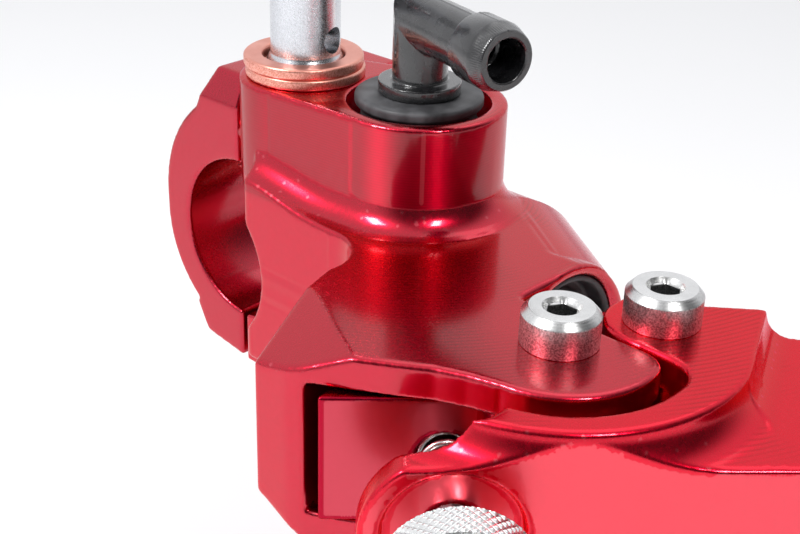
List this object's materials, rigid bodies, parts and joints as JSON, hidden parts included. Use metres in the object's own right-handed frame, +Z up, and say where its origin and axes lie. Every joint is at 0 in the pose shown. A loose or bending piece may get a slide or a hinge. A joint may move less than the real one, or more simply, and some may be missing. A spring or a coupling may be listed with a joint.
{
  "type": "brake master cylinder",
  "caption": "Radial master cylinder with bar clamp, hinged lever with reach adjuster, banjo outlet and swivelling reservoir elbow.",
  "frame": {"origin": "on the handlebar clamp's axis, where the plane through the cylinder's axis crosses it", "axes": "+X along the handlebar towards the flat side wall, +Y along the cylinder towards the lever, +Z up towards the two ports"},
  "size_m": [0.1807, 0.1129, 0.0718],
  "materials": {
    "red_anodised": "satin machined, deep red anodised",
    "steel": "satin",
    "bolt_silver": "bright turned",
    "screw_silver": "fine blasted sides, polished edges",
    "copper": "satin turned copper",
    "rubber": "matte black",
    "seal_rubber": "smooth black",
    "elbow_plastic": "moulded, gloss black",
    "piston_metal": "hard anodised, fine turned",
    "spring_wire": "drawn wire",
    "bronze": "plain bearing bronze",
    "knob_steel": "knurled and turned"
  },
  "bodies": {
    "cylinder": {"body": "red_anodised", "bar_clamp": "red_anodised", "clamp_screws": "steel", "banjo_bolt": "bolt_silver", "copper_washer_lower": "copper", "copper_washer_upper": "copper", "inlet_grommet": "rubber", "return_spring": "spring_wire", "stop_washer": "steel", "circlip": "steel", "dust_boot": "rubber", "pivot_screw": "screw_silver", "pivot_nut": "screw_silver"},
    "carrier": {"lever_carrier": "red_anodised", "pivot_bush": "bronze", "reach_bush": "bronze", "adjuster_spring": "spring_wire", "adjuster_barrel": "bronze"},
    "lever": {"lever": "red_anodised", "reach_screw": "screw_silver", "reach_nut": "screw_silver"},
    "adjuster": {"adjuster_knob": "knob_steel", "adjuster_screw": "steel"},
    "piston": {"piston": "piston_metal", "primary_seal": "seal_rubber", "secondary_seal": "seal_rubber"},
    "pushrod": {"pushrod": "steel", "pushrod_locknut": "steel", "trunnion": "bronze"},
    "elbow": {"inlet_elbow": "elbow_plastic"}
  },
  "joints": [
    {"name": "lever_squeeze", "type": "hinge", "parent": "cylinder", "child": "carrier", "pos_m": [0.0136, 0.0587, 0], "axis": [0, 0, 1], "range_deg": [0, 18], "stiffness_Nm_per_rad": 1.5, "springref_deg": -5.73},
    {"name": "lever_reach", "type": "hinge", "parent": "carrier", "child": "lever", "pos_m": [0.0023, 0.0636, 0], "axis": [0, 0, 1], "range_deg": [-2.6, 2.6]},
    {"name": "knob_turn", "type": "hinge", "parent": "lever", "child": "adjuster", "pos_m": [0.03507, 0.06392, 0], "axis": [0.7071, 0.7071, 0], "range_deg": [-360, 360]},
    {"name": "piston_slide", "type": "slide", "parent": "cylinder", "child": "piston", "axis": [0, -1, 0], "range_m": [0, 0.0042], "deforming": ["return_spring"]},
    {"name": "pushrod_swing", "type": "hinge", "parent": "carrier", "child": "pushrod", "pos_m": [0, 0.0576, 0], "axis": [0, 0, 1], "range_deg": [-21.2, 0]},
    {"name": "elbow_swivel", "type": "hinge", "parent": "cylinder", "child": "elbow", "pos_m": [-0.003, 0.024, 0.0343], "axis": [0, 0, 1], "range_deg": [-70, 70]}
  ],
  "couplings": [
    {"joint": "piston_slide", "follows": "lever_squeeze", "m_per_rad": 0.01311},
    {"joint": "pushrod_swing", "follows": "lever_squeeze", "ratio": -1.1694},
    {"joint": "lever_reach", "follows": "knob_turn", "ratio": 0.006936}
  ]
}
